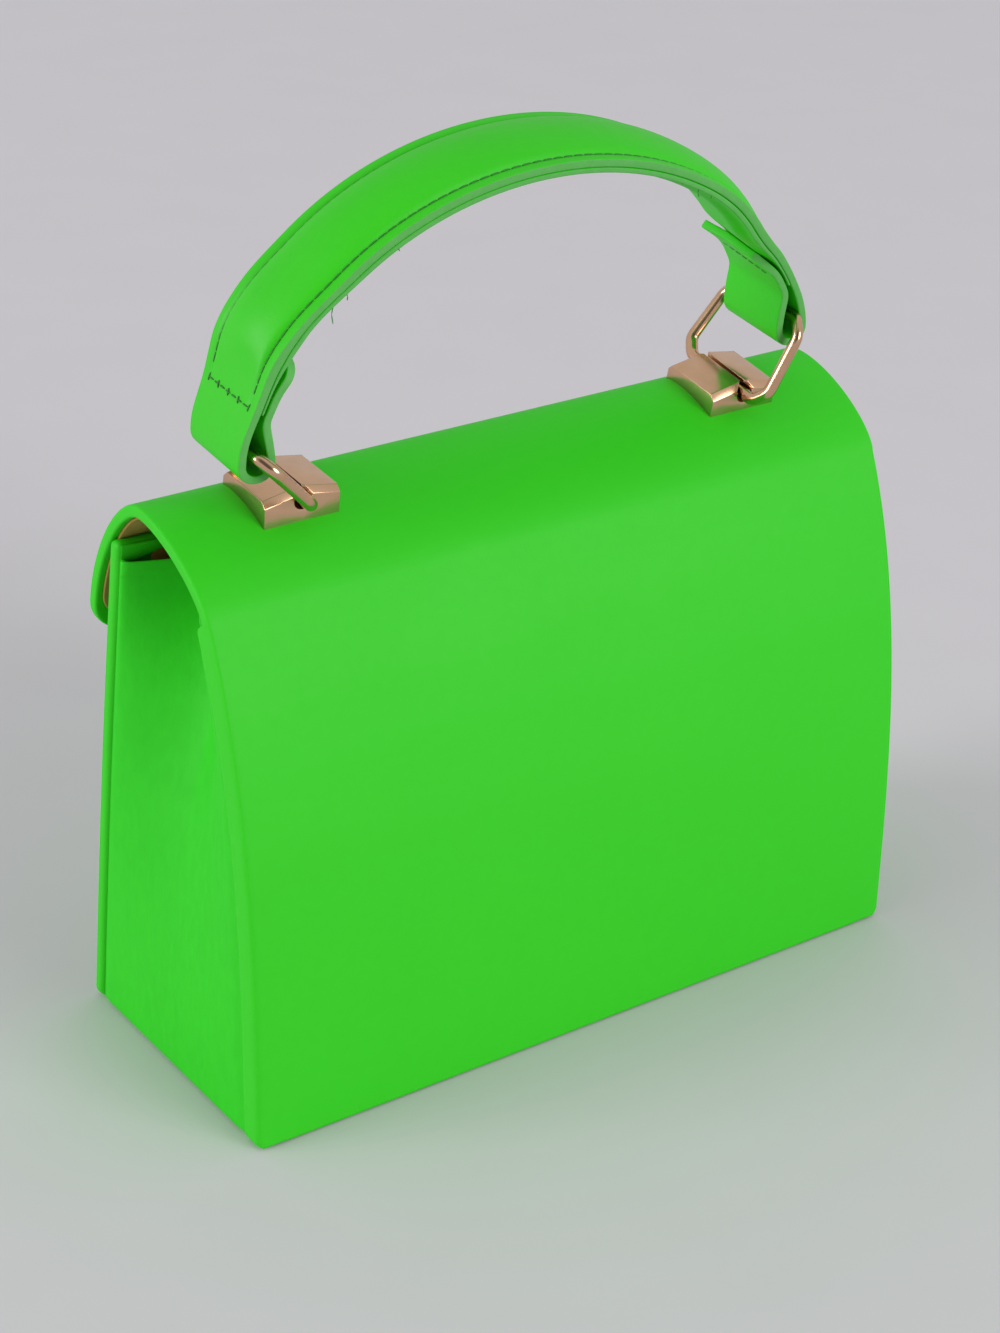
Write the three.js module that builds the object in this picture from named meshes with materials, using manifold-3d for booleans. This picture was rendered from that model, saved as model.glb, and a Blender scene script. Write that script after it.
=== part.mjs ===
// A structured mini top-handle bag. The stiff leather back runs on over the top and down the front as the
// flap, gussets close the sides, and a padded handle hangs on two wire rings held by metal saddles.
// Millimetres, +Z up. The front faces -Y, and the base rests on Z = 0, centred under the origin.
import * as THREE from 'three';
import { mergeVertices } from 'three/addons/utils/BufferGeometryUtils.js';
import Module from 'manifold-3d';

const wasm = await Module();
wasm.setup();

// Driving dimensions of the box.
const WIDTH = 200;
const DEPTH = 84;
const FRONT_HEIGHT = 135;
const FRONT_LEAN = 0.142;
const FACING_HEIGHT = 9;
const BOARD_INSET = 1.6;
const LINING_INSET = 3.2;
const GLUE_LINE = 0.1;
const WALL = { leather: 1.4, board: 2.2, lining: 0.8 };
const FLAP = { leather: 1, board: 2, lining: 0.6 };

// The flap's end hangs below the front's top edge and has rounded corners.
const FLAP_FRONT = [-34.3, 116.5];
const FLAP_END = [-35.1, 109.5];
const FLAP_CORNER = 8;

// The gussets fold inwards between the leaning front and the curved back, deeper towards the mouth.
const GUSSET_HEIGHT = 131;
const GUSSET_FOLD = 20;
const GUSSET_GAP = 0.8;
const GUSSET_STEPS = { across: 20, up: 18 };
const FOLD_START = 25;
const FOLD_POWER = 1.5;
const FOLD_MARGIN = 7;
const FOLD_ROUND = 0.35;
const CREASE = 0.4;

// Hidden magnets that hold the flap shut.
const MAGNET_RADIUS = 6;
const MAGNET_THICKNESS = 1;
const MAGNET_CLEARANCE = 0.2;
const FRONT_MAGNET_HEIGHT = 124;
const FLAP_MAGNET_PLACE = 0.83;

// Gold saddles on the top, each held by two screws from inside the flap.
const SADDLE_OFFSET = 66.2;
const SADDLE_PLACE = 0.32016;
const SADDLE_LEAN = THREE.MathUtils.degToRad(12);
const SADDLE = { width: 20.5, length: 19, edge: 4.1, ridge: 6, bevel: 1.3, root: 3, gap: 0.3 };
const SCREW = { offset: 5.5, shank: 1.2, tip: 2, headRadius: 2.2, head: 0.6, clearance: 0.3 };
const WASHER = { radius: 3.5, thickness: 0.5, top: -1.9 };
const POCKET_RADIUS = 4;

// Rings of round wire: a rectangle with cut corners that turns on its lower bar.
const WIRE_RADIUS = 1.6;
const RING_REACH = 23;
const RING_HALF_WIDTH = 16.5;
const RING_CORNER = 3.5;
const RING_BEND = 1.5;
const RING_PIVOT_HEIGHT = 2.7;
const TUNNEL_RADIUS = 1.95;
const WIRE_SIDES = 8;
const WIRE_STEPS = 60;
const RING_REST_RIGHT = THREE.MathUtils.degToRad(45.5);
const RING_REST_LEFT = THREE.MathUtils.degToRad(60);

// Padded handle: a strap that arches over, goes round each ring and folds back as a tab. At rest it sways
// a little to the right.
const STRAP_WIDTH = 25;
const STRAP_THICKNESS = 2.2;
const CORE_WIDTH = 23;
const CORE_THICKNESS = 4.2;
const CORE_END_THICKNESS = 0.8;
const UNDERSIDE_THICKNESS = 1.4;
const HANDLE_GAP = 0.3;
const ARCH_CROWN = 63.5;
const ARCH_BASE = -9;
const HANDLE_SWAY = 0.145;
const LOOP_RADIUS = 4.2;
const LOOP_LIFT = 0.4;
const LOOP_INSET = 1.1;
const LEG_EASE = 7.5;
const EASE_STEP = 0.01;
const STRAP_STEPS = { arch: 18, loop: 10, leg: 7, tab: 3 };
const LAYER_STEPS = 16;
const CROWN_ANGLE = THREE.MathUtils.degToRad(89.9);
const CORE_TAPER = THREE.MathUtils.degToRad(45);
const TAB_START = THREE.MathUtils.degToRad(25);
const TAB_END = THREE.MathUtils.degToRad(31.5);

// Flat faces used for a round: magnets, screws and washers, tunnel, and one corner of the flap.
const ROUND = { disc: 28, rod: 20, tunnel: 24, corner: 8 };

// Colours seen on the object.
const GREEN = 0x44cc36;
const STRAP_GREEN = 0x37b92b;
const TAN = 0xa58741;
const GOLD = 0xd9ad86;
const GREY_BOARD = 0x9a948a;
const STEEL = 0xb9babd;
const FOAM = 0xe8e4d4;

const finish = (color, roughness, metalness) => (
  new THREE.MeshStandardMaterial({ color, roughness, metalness }));
const leather = () => finish(GREEN, 0.45, 0);
const strapLeather = () => finish(STRAP_GREEN, 0.5, 0);
const suede = () => finish(TAN, 0.95, 0);
const gold = () => finish(GOLD, 0.18, 1);
const greyBoard = () => finish(GREY_BOARD, 0.9, 0);
const steel = () => finish(STEEL, 0.35, 1);
const foam = () => finish(FOAM, 0.95, 0);

// Turns a geometry into a solid that can be cut, and back again.
function solidOf(geometry) {
  const bare = geometry.clone();
  bare.deleteAttribute('normal');
  bare.deleteAttribute('uv');
  const merged = mergeVertices(bare, 1e-4);
  return new wasm.Manifold(new wasm.Mesh({
    numProp: 3,
    vertProperties: new Float32Array(merged.attributes.position.array),
    triVerts: new Uint32Array(merged.index.array),
  }));
}

function geometryOf(solid) {
  const mesh = solid.getMesh();
  const geometry = new THREE.BufferGeometry();
  geometry.setAttribute('position', new THREE.BufferAttribute(mesh.vertProperties, 3));
  geometry.setIndex(new THREE.BufferAttribute(mesh.triVerts, 1));
  geometry.computeVertexNormals();
  return geometry;
}

function cut(geometry, tools) {
  const cutAway = (solid, tool) => solid.subtract(solidOf(tool));
  return geometryOf(tools.reduce(cutAway, solidOf(geometry)));
}

function addPiece(parent, name, geometry, material) {
  const piece = new THREE.Mesh(geometry, material);
  piece.name = name;
  parent.add(piece);
  return piece;
}

// The side view of the box, as (y, z) lines on its outer faces: back, then flap, then front.
const side = (y, z) => new THREE.Vector2(y, z);
const hingeLine = side(24, 134.5);
const crest = side(-6.7, 151.7);
const flapFront = side(...FLAP_FRONT);
const backLine = new THREE.CubicBezierCurve(
  side(DEPTH / 2, 0), side(DEPTH / 2, 45), side(DEPTH / 2, 95), hingeLine);
const flapLine = new THREE.CurvePath();
flapLine.add(new THREE.CubicBezierCurve(hingeLine, side(20.7, 141.8), side(5.3, 151), crest));
flapLine.add(new THREE.CubicBezierCurve(crest, side(-18, 152.4), side(-32.5, 132), flapFront));
flapLine.add(new THREE.LineCurve(flapFront, side(...FLAP_END)));
const frontFace = (z) => FRONT_LEAN * z - DEPTH / 2;
const FRONT_SLANT = Math.hypot(1, FRONT_LEAN);

// A point under the outer face of a line, measured square to it.
function under(line, place, depth) {
  const along = line.getTangent(place);
  return line.getPoint(place).add(side(-along.y, along.x).multiplyScalar(depth));
}

// The place on the back where it reaches a height, by halving.
const HALVINGS = 40;
function backPlace(height) {
  let low = 0;
  let high = 1;
  for (let i = 0; i < HALVINGS; i += 1) {
    const middle = (low + high) / 2;
    if (backLine.getPoint(middle).y < height) low = middle;
    else high = middle;
  }
  return low;
}

// The depths of leather, board and lining under an outer face.
function layerDepths(thickness) {
  const board = thickness.leather + GLUE_LINE;
  const lining = board + thickness.board + GLUE_LINE;
  return {
    leather: [0, thickness.leather],
    board: [board, board + thickness.board],
    lining: [lining, lining + thickness.lining],
  };
}

const wall = layerDepths(WALL);
const flapLayers = layerDepths(FLAP);

// A side-view outline carried across the width of the bag.
function acrossWidth(outline, width) {
  const geometry = new THREE.ExtrudeGeometry(new THREE.Shape(outline), { depth: width, bevelEnabled: false });
  geometry.translate(0, 0, -width / 2);
  const toWidth = new THREE.Vector3(1, 0, 0);
  const toBack = new THREE.Vector3(0, 1, 0);
  const toTop = new THREE.Vector3(0, 0, 1);
  return geometry.applyMatrix4(new THREE.Matrix4().makeBasis(toBack, toTop, toWidth));
}

// One curved layer between two depths under an outer line.
function curvedLayer(line, [from, to], [outer, inner], width, steps) {
  const places = Array.from({ length: steps + 1 }, (_, i) => from + ((to - from) * i) / steps);
  const outerSide = places.map((place) => under(line, place, outer));
  const innerSide = places.map((place) => under(line, place, inner)).reverse();
  return acrossWidth([...outerSide, ...innerSide], width);
}

// One flat layer of the leaning front between two heights.
function frontLayer([low, high], [outer, inner], width) {
  const corner = (z, depth) => side(frontFace(z) + depth * FRONT_SLANT, z);
  const outline = [corner(low, outer), corner(low, inner), corner(high, inner), corner(high, outer)];
  return acrossWidth(outline, width);
}

// One level layer of the base.
function baseLayer([low, high], width, frontInset, backInset) {
  const front = frontFace(high) + frontInset * FRONT_SLANT;
  const back = DEPTH / 2 - backInset;
  const geometry = new THREE.BoxGeometry(width, back - front, high - low);
  return geometry.translate(0, (front + back) / 2, (low + high) / 2);
}

const bag = new THREE.Group();
const boardWidth = WIDTH - 2 * BOARD_INSET;
const liningWidth = WIDTH - 2 * LINING_INSET;
const liningFloor = wall.lining[1] + GLUE_LINE;

// Base: the leather it stands on, a stiff board and the lining on the floor of the bag.
const footprint = new THREE.BoxGeometry(WIDTH, DEPTH, WALL.leather).translate(0, 0, WALL.leather / 2);
addPiece(bag, 'base_cover', footprint, leather());
const boardEdge = wall.board[0] + GLUE_LINE;
addPiece(bag, 'base_board', baseLayer(wall.board, boardWidth, boardEdge, boardEdge), greyBoard());
const floorEdge = wall.lining[0] + GLUE_LINE;
addPiece(bag, 'base_lining', baseLayer(wall.lining, liningWidth, floorEdge, floorEdge), suede());

// Back: leather, board and lining up to the line where the flap folds.
const BACK_STEPS = 14;
const backFrom = (height) => [backPlace(height), 1];
addPiece(bag, 'back_cover',
  curvedLayer(backLine, backFrom(wall.board[0]), wall.leather, WIDTH, BACK_STEPS), leather());
addPiece(bag, 'back_board',
  curvedLayer(backLine, backFrom(wall.lining[0]), wall.board, boardWidth, BACK_STEPS), greyBoard());
addPiece(bag, 'back_lining',
  curvedLayer(backLine, backFrom(liningFloor), wall.lining, liningWidth, BACK_STEPS), suede());

// A magnet lies square in its board, in a pocket with a little room round it.
function disc(radius, thickness, centre, tilt) {
  const geometry = new THREE.CylinderGeometry(radius, radius, thickness, ROUND.disc);
  geometry.rotateX(tilt);
  return geometry.translate(0, centre.x, centre.y);
}

// Front: leather, board with its magnet, lining, and the leather facing inside the top edge.
const facingLow = FRONT_HEIGHT - FACING_HEIGHT;
const frontTilt = -Math.atan(FRONT_LEAN);
const magnetDepth = (wall.board[0] + wall.board[1]) / 2;
const frontMagnetCentre = side(
  frontFace(FRONT_MAGNET_HEIGHT) + magnetDepth * FRONT_SLANT, FRONT_MAGNET_HEIGHT);
const pocketRadius = MAGNET_RADIUS + MAGNET_CLEARANCE;
addPiece(bag, 'front_cover', frontLayer([wall.board[0], FRONT_HEIGHT], wall.leather, WIDTH), leather());
addPiece(bag, 'front_board', cut(
  frontLayer([wall.lining[0], FRONT_HEIGHT], wall.board, boardWidth),
  [disc(pocketRadius, 2 * WALL.board, frontMagnetCentre, frontTilt)],
), greyBoard());
addPiece(bag, 'front_magnet', disc(MAGNET_RADIUS, MAGNET_THICKNESS, frontMagnetCentre, frontTilt), steel());
addPiece(bag, 'front_lining',
  frontLayer([liningFloor, facingLow - GLUE_LINE], wall.lining, liningWidth), suede());
addPiece(bag, 'front_facing', frontLayer([facingLow, FRONT_HEIGHT], wall.lining, liningWidth), leather());

// How far a gusset has folded in at a point of its side view.
function foldDepth(y, z) {
  const front = frontFace(z) + FOLD_MARGIN;
  const back = backLine.getPoint(backPlace(z)).x - FOLD_MARGIN;
  const across = THREE.MathUtils.clamp((y - front) / (back - front), 0, 1);
  const fromEdge = across < CREASE ? across / CREASE : (1 - across) / (1 - CREASE);
  const toEdge = (distance) => Math.hypot(distance, FOLD_ROUND) - FOLD_ROUND;
  const rise = Math.max(0, z - FOLD_START) / (GUSSET_HEIGHT - FOLD_START);
  return GUSSET_FOLD * rise ** FOLD_POWER * (1 - toEdge(1 - fromEdge) / toEdge(1));
}

// One layer of a gusset: a box of leather, fitted between front and back and pressed in at the top.
function gussetLayer(outward, [outer, inner], inset, floor) {
  const geometry = new THREE.BoxGeometry(1, 1, 1, 1, GUSSET_STEPS.across, GUSSET_STEPS.up);
  const position = geometry.attributes.position;
  const fraction = new THREE.Vector3();
  const first = backPlace(floor);
  const last = backPlace(GUSSET_HEIGHT);
  for (let i = 0; i < position.count; i += 1) {
    fraction.fromBufferAttribute(position, i).addScalar(0.5);
    const back = under(backLine, first + (last - first) * fraction.z, inset);
    const front = frontFace(back.y) + inset * FRONT_SLANT;
    const y = front + (back.x - front) * fraction.y;
    const through = outward > 0 ? inner + (outer - inner) * fraction.x : outer + (inner - outer) * fraction.x;
    const x = WIDTH / 2 - through - foldDepth(y, back.y);
    position.setXYZ(i, outward * x, y, back.y);
  }
  return geometry;
}

const gussetLeather = [0, WALL.leather];
const gussetLining = [WALL.leather + GUSSET_GAP, WALL.leather + GUSSET_GAP + WALL.lining];
for (const [name, outward] of [['left', -1], ['right', 1]]) {
  addPiece(bag, `gusset_${name}`,
    gussetLayer(outward, gussetLeather, wall.board[0], wall.board[0]), leather());
  addPiece(bag, `gusset_lining_${name}`,
    gussetLayer(outward, gussetLining, wall.lining[0], wall.lining[0]), suede());
}

// Saddle frame: its origin lies on the top of the flap, leaning back with the leather there.
const seat = flapLine.getPoint(SADDLE_PLACE);
const saddles = new THREE.Group();
saddles.position.set(0, seat.x, seat.y);
saddles.rotation.x = -SADDLE_LEAN;
saddles.updateMatrixWorld();
bag.add(saddles);
const intoSaddles = saddles.matrixWorld.clone().invert();

// A round rod standing square to the saddle's seat, from one height to another.
function uprightRod(x, radius, low, high) {
  const geometry = new THREE.CylinderGeometry(radius, radius, high - low, ROUND.rod);
  geometry.rotateX(Math.PI / 2);
  return geometry.translate(x, 0, (low + high) / 2);
}

const SADDLE_SIDES = [['left', -SADDLE_OFFSET], ['right', SADDLE_OFFSET]];
const screwPlaces = SADDLE_SIDES.flatMap(([name, x]) => [
  { name: `${name}_outer`, x: x + Math.sign(x) * SCREW.offset },
  { name: `${name}_inner`, x: x - Math.sign(x) * SCREW.offset },
]);
const inFlap = (geometry) => geometry.applyMatrix4(saddles.matrixWorld);
const holeReach = SADDLE.ridge;
const holeRadius = SCREW.shank + SCREW.clearance;
const pocketTop = WASHER.top + GLUE_LINE;
const screwHoles = screwPlaces.map(({ x }) => inFlap(uprightRod(x, holeRadius, -holeReach, holeReach)));
const screwPockets = screwPlaces.map(({ x }) => inFlap(uprightRod(x, POCKET_RADIUS, -holeReach, pocketTop)));

// Cutters that round the two lower corners of a flap layer, which may be set in from the leather's edge.
function cornerCutters([, inner], inset) {
  const radius = FLAP_CORNER - inset;
  const low = under(flapLine, 1, inner).y;
  return [[-1, Math.PI, 1.5 * Math.PI], [1, 0, -0.5 * Math.PI]].map(([outward, arcStart, arcEnd]) => {
    const edge = outward * (WIDTH / 2 - inset);
    const centre = edge - outward * radius;
    const outside = edge + outward * radius;
    const outline = new THREE.Shape([side(centre, low - radius), side(outside, low - radius)]);
    outline.lineTo(outside, low + radius);
    outline.lineTo(edge, low + radius);
    outline.absarc(centre, low + radius, radius, arcStart, arcEnd, outward > 0);
    const cutter = new THREE.ExtrudeGeometry(outline, {
      depth: DEPTH, bevelEnabled: false, curveSegments: ROUND.corner,
    });
    return cutter.rotateX(Math.PI / 2);
  });
}

// Flap: leather, board and lining from the fold line over the top and down the front.
const FLAP_STEPS = 28;
const FLAP_SPAN = [0.005, 1];
const flapMagnetCentre = under(flapLine, FLAP_MAGNET_PLACE, flapLayers.board[0] + FLAP.board / 2);
const flapDown = flapLine.getTangent(FLAP_MAGNET_PLACE);
const flapTilt = Math.atan2(flapDown.y, flapDown.x) + Math.PI / 2;
addPiece(bag, 'flap_cover', cut(
  curvedLayer(flapLine, FLAP_SPAN, flapLayers.leather, WIDTH, FLAP_STEPS),
  [...screwHoles, ...cornerCutters(flapLayers.leather, 0)],
), leather());
addPiece(bag, 'flap_board', cut(
  curvedLayer(flapLine, FLAP_SPAN, flapLayers.board, boardWidth, FLAP_STEPS),
  [
    ...screwHoles, ...screwPockets, ...cornerCutters(flapLayers.board, BOARD_INSET),
    disc(pocketRadius, 2 * FLAP.board, flapMagnetCentre, flapTilt),
  ],
), greyBoard());
addPiece(bag, 'flap_lining', cut(
  curvedLayer(flapLine, FLAP_SPAN, flapLayers.lining, boardWidth, FLAP_STEPS),
  cornerCutters(flapLayers.lining, BOARD_INSET),
), suede());
addPiece(bag, 'flap_magnet', disc(MAGNET_RADIUS, MAGNET_THICKNESS, flapMagnetCentre, flapTilt), steel());

// Saddle: a low gabled block with bevelled ends, a tunnel for the ring and two blind screw holes.
const saddleSkin = curvedLayer(flapLine, FLAP_SPAN, [-SADDLE.gap, 2 * SADDLE.ridge], WIDTH, FLAP_STEPS);
saddleSkin.applyMatrix4(intoSaddles);

function saddleBlock(x) {
  const half = SADDLE.width / 2;
  const gable = new THREE.Shape([
    new THREE.Vector2(-half, -SADDLE.root),
    new THREE.Vector2(half, -SADDLE.root),
    new THREE.Vector2(half, SADDLE.edge),
    new THREE.Vector2(0, SADDLE.ridge),
    new THREE.Vector2(-half, SADDLE.edge),
  ]);
  const block = new THREE.ExtrudeGeometry(gable, { depth: SADDLE.length, bevelEnabled: false });
  block.translate(0, 0, -SADDLE.length / 2);
  block.rotateX(Math.PI / 2);
  const halfLength = SADDLE.length / 2;
  const bevelled = new THREE.Shape([
    side(-halfLength, -SADDLE.root),
    side(halfLength, -SADDLE.root),
    side(halfLength, SADDLE.ridge - 2 * SADDLE.bevel),
    side(halfLength - SADDLE.bevel, SADDLE.ridge),
    side(SADDLE.bevel - halfLength, SADDLE.ridge),
    side(-halfLength, SADDLE.ridge - 2 * SADDLE.bevel),
  ]);
  const ends = acrossWidth(bevelled.getPoints(), SADDLE.width);
  const tunnel = new THREE.CylinderGeometry(TUNNEL_RADIUS, TUNNEL_RADIUS, 2 * SADDLE.length, ROUND.tunnel);
  tunnel.translate(0, 0, RING_PIVOT_HEIGHT);
  const blindHoles = [-SCREW.offset, SCREW.offset].map((offset) => (
    uprightRod(offset, holeRadius, -2 * SADDLE.root, SCREW.tip + SCREW.clearance)));
  const skin = saddleSkin.clone().translate(-x, 0, 0);
  return cut(geometryOf(solidOf(block).intersect(solidOf(ends))), [tunnel, ...blindHoles, skin]);
}

for (const [name, x] of SADDLE_SIDES) {
  addPiece(saddles, `saddle_${name}`, saddleBlock(x), gold()).position.x = x;
}

// Screws with flat heads, each over a washer in its pocket in the flap board.
function screwBody(x) {
  const washerFloor = WASHER.top - WASHER.thickness - GLUE_LINE;
  const head = uprightRod(x, SCREW.headRadius, washerFloor - SCREW.head, washerFloor);
  const shank = uprightRod(x, SCREW.shank, washerFloor - SCREW.head / 2, SCREW.tip);
  return geometryOf(solidOf(head).add(solidOf(shank)));
}

function washerBody(x) {
  const ring = uprightRod(x, WASHER.radius, WASHER.top - WASHER.thickness, WASHER.top);
  return cut(ring, [uprightRod(x, holeRadius, -holeReach, holeReach)]);
}

for (const { name, x } of screwPlaces) {
  addPiece(saddles, `saddle_screw_${name}`, screwBody(x), steel());
  addPiece(saddles, `saddle_washer_${name}`, washerBody(x), steel());
}

// Ring: the wire's centre line, with the lower bar on the pivot and the upper bar in the handle's loop.
function ringLine() {
  const far = RING_HALF_WIDTH;
  const near = RING_HALF_WIDTH - RING_CORNER;
  const corners = [
    [near, 0], [far, RING_CORNER], [far, RING_REACH - RING_CORNER], [near, RING_REACH],
    [-near, RING_REACH], [-far, RING_REACH - RING_CORNER], [-far, RING_CORNER], [-near, 0],
  ].map(([along, up]) => new THREE.Vector2(along, up));
  const line = new THREE.Path();
  line.moveTo(0, 0);
  corners.forEach((corner, i) => {
    const before = i === 0 ? new THREE.Vector2(0, 0) : corners[i - 1];
    const after = i === corners.length - 1 ? new THREE.Vector2(0, 0) : corners[i + 1];
    const bendIn = corner.clone().add(before.clone().sub(corner).setLength(RING_BEND));
    const bendOut = corner.clone().add(after.clone().sub(corner).setLength(RING_BEND));
    line.lineTo(bendIn.x, bendIn.y);
    line.quadraticCurveTo(corner.x, corner.y, bendOut.x, bendOut.y);
  });
  line.lineTo(0, 0);
  return line;
}

// A torus led round the ring's centre line.
function ringWire() {
  const line = ringLine();
  const geometry = new THREE.TorusGeometry(RING_REACH, WIRE_RADIUS, WIRE_SIDES, WIRE_STEPS);
  const position = geometry.attributes.position;
  for (let i = 0; i < position.count; i += 1) {
    const x = position.getX(i);
    const y = position.getY(i);
    const turn = (Math.atan2(y, x) / (2 * Math.PI) + 1) % 1;
    const outward = Math.hypot(x, y) - RING_REACH;
    const centre = line.getPointAt(turn);
    const along = line.getTangentAt(turn);
    position.setXY(i, centre.x + along.y * outward, centre.y - along.x * outward);
  }
  return geometry;
}

// Where a ring's upper bar stands in the saddle frame, and the ring turned to its resting lean.
function ringBar(outward, rest) {
  const x = outward * (SADDLE_OFFSET + RING_REACH * Math.cos(rest));
  return new THREE.Vector2(x, RING_PIVOT_HEIGHT + RING_REACH * Math.sin(rest));
}

function addRing(name, outward, rest) {
  const ring = addPiece(saddles, name, ringWire(), gold());
  ring.position.set(outward * SADDLE_OFFSET, 0, RING_PIVOT_HEIGHT);
  const alongBar = new THREE.Vector3(0, 1, 0);
  const toBar = new THREE.Vector3(outward * Math.cos(rest), 0, Math.sin(rest));
  const square = new THREE.Vector3().crossVectors(alongBar, toBar);
  ring.setRotationFromMatrix(new THREE.Matrix4().makeBasis(alongBar, toBar, square));
}

addRing('ring_left', -1, RING_REST_LEFT);
addRing('ring_right', 1, RING_REST_RIGHT);

// Handle frame: halfway between the two upper bars and level with them.
const leftBar = ringBar(-1, RING_REST_LEFT);
const rightBar = ringBar(1, RING_REST_RIGHT);
const betweenBars = leftBar.clone().add(rightBar).multiplyScalar(0.5);
const halfSpan = leftBar.distanceTo(rightBar) / 2;
const handle = new THREE.Group();
handle.position.set(betweenBars.x, 0, betweenBars.y);
handle.rotation.y = Math.atan2(leftBar.y - rightBar.y, rightBar.x - leftBar.x);
saddles.add(handle);

// The strap's centre line is half an ellipse that runs straight into each loop.
const loopCentre = new THREE.Vector2(halfSpan - LOOP_INSET, LOOP_LIFT);
const archRise = ARCH_CROWN - ARCH_BASE;
const loopAngle = Math.asin((loopCentre.y - ARCH_BASE) / archRise);
const archReach = (loopCentre.x + LOOP_RADIUS) / Math.cos(loopAngle);

function archPoint(angle, depth) {
  const outward = new THREE.Vector2(Math.cos(angle) / archReach, Math.sin(angle) / archRise).normalize();
  const centre = new THREE.Vector2(archReach * Math.cos(angle), ARCH_BASE + archRise * Math.sin(angle));
  return centre.addScaledVector(outward, -depth);
}

const spread = (from, to, steps) => (
  Array.from({ length: steps + 1 }, (_, i) => from + ((to - from) * i) / steps));

// The padding thins out towards the loops.
function coreThickness(angle) {
  const share = THREE.MathUtils.smoothstep(angle, TAB_START, CORE_TAPER);
  return CORE_END_THICKNESS + (CORE_THICKNESS - CORE_END_THICKNESS) * share;
}

const coreTop = STRAP_THICKNESS / 2 + HANDLE_GAP;
const undersideTop = (angle) => coreTop + coreThickness(angle) + HANDLE_GAP;
const tabMiddle = (angle) => undersideTop(angle) + UNDERSIDE_THICKNESS + HANDLE_GAP + STRAP_THICKNESS / 2;

// The strap's centre line: crown, loop round the bar, inner leg and the tab folded under the handle.
function strapLine() {
  const arch = spread(CROWN_ANGLE, loopAngle, STRAP_STEPS.arch).map((angle) => archPoint(angle, 0));
  const loop = spread(0, -Math.PI, STRAP_STEPS.loop).slice(1).map((angle) => (
    loopCentre.clone().add(new THREE.Vector2(LOOP_RADIUS * Math.cos(angle), LOOP_RADIUS * Math.sin(angle)))));
  const legLow = loop[loop.length - 1];
  const legHigh = archPoint(TAB_START, tabMiddle(TAB_START));
  const easeHigh = archPoint(TAB_START + EASE_STEP, tabMiddle(TAB_START)).sub(legHigh).setLength(LEG_EASE);
  const leg = new THREE.CubicBezierCurve(
    legLow, legLow.clone().add(new THREE.Vector2(0, LEG_EASE)), legHigh.clone().sub(easeHigh), legHigh);
  const tabAngles = spread(TAB_START, TAB_END, STRAP_STEPS.tab).slice(1);
  const tab = tabAngles.map((angle) => archPoint(angle, tabMiddle(angle)));
  return [...arch, ...loop, ...leg.getPoints(STRAP_STEPS.leg).slice(1), ...tab];
}

// A strip of leather of even thickness along a line, as an outline.
function stripOutline(line, thickness) {
  const edge = (sign) => line.map((place, i) => {
    const ahead = line[Math.min(i + 1, line.length - 1)];
    const behind = line[Math.max(i - 1, 0)];
    const along = ahead.clone().sub(behind).normalize();
    return place.clone().addScaledVector(new THREE.Vector2(-along.y, along.x), (sign * thickness) / 2);
  });
  return [...edge(1), ...edge(-1).reverse()];
}

// A layer under the strap between two depths that may change along the arch.
function archLayer(from, to, steps, top, thickness) {
  const angles = spread(from, to, steps);
  const upper = angles.map((angle) => archPoint(angle, top(angle)));
  const lower = angles.map((angle) => archPoint(angle, top(angle) + thickness(angle))).reverse();
  return [...upper, ...lower];
}

// A handle outline carried across the strap; the left half mirrors the right one, and both sway.
function acrossStrap(outline, outward, width) {
  const swayed = ({ x, y }) => new THREE.Vector2(outward * x + HANDLE_SWAY * y, y);
  const shape = new THREE.Shape(outline.map(swayed));
  const geometry = new THREE.ExtrudeGeometry(shape, { depth: width, bevelEnabled: false });
  geometry.translate(0, 0, -width / 2);
  return geometry.rotateX(Math.PI / 2);
}

const strapOutline = stripOutline(strapLine(), STRAP_THICKNESS);
const coreOutline = archLayer(CROWN_ANGLE, TAB_START, LAYER_STEPS, () => coreTop, coreThickness);
const undersideOutline = archLayer(
  CROWN_ANGLE, TAB_START, LAYER_STEPS, undersideTop, () => UNDERSIDE_THICKNESS);
for (const [name, outward] of [['left', -1], ['right', 1]]) {
  addPiece(handle, `handle_strap_${name}`,
    acrossStrap(strapOutline, outward, STRAP_WIDTH), strapLeather());
  addPiece(handle, `handle_core_${name}`,
    acrossStrap(coreOutline, outward, CORE_WIDTH), foam());
  addPiece(handle, `handle_underside_${name}`,
    acrossStrap(undersideOutline, outward, STRAP_WIDTH), strapLeather());
}

export default bag;
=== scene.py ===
import math
from bisect import bisect_right

import bmesh
import bpy
from mathutils import Matrix, Vector
from mathutils.geometry import interpolate_bezier


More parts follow.
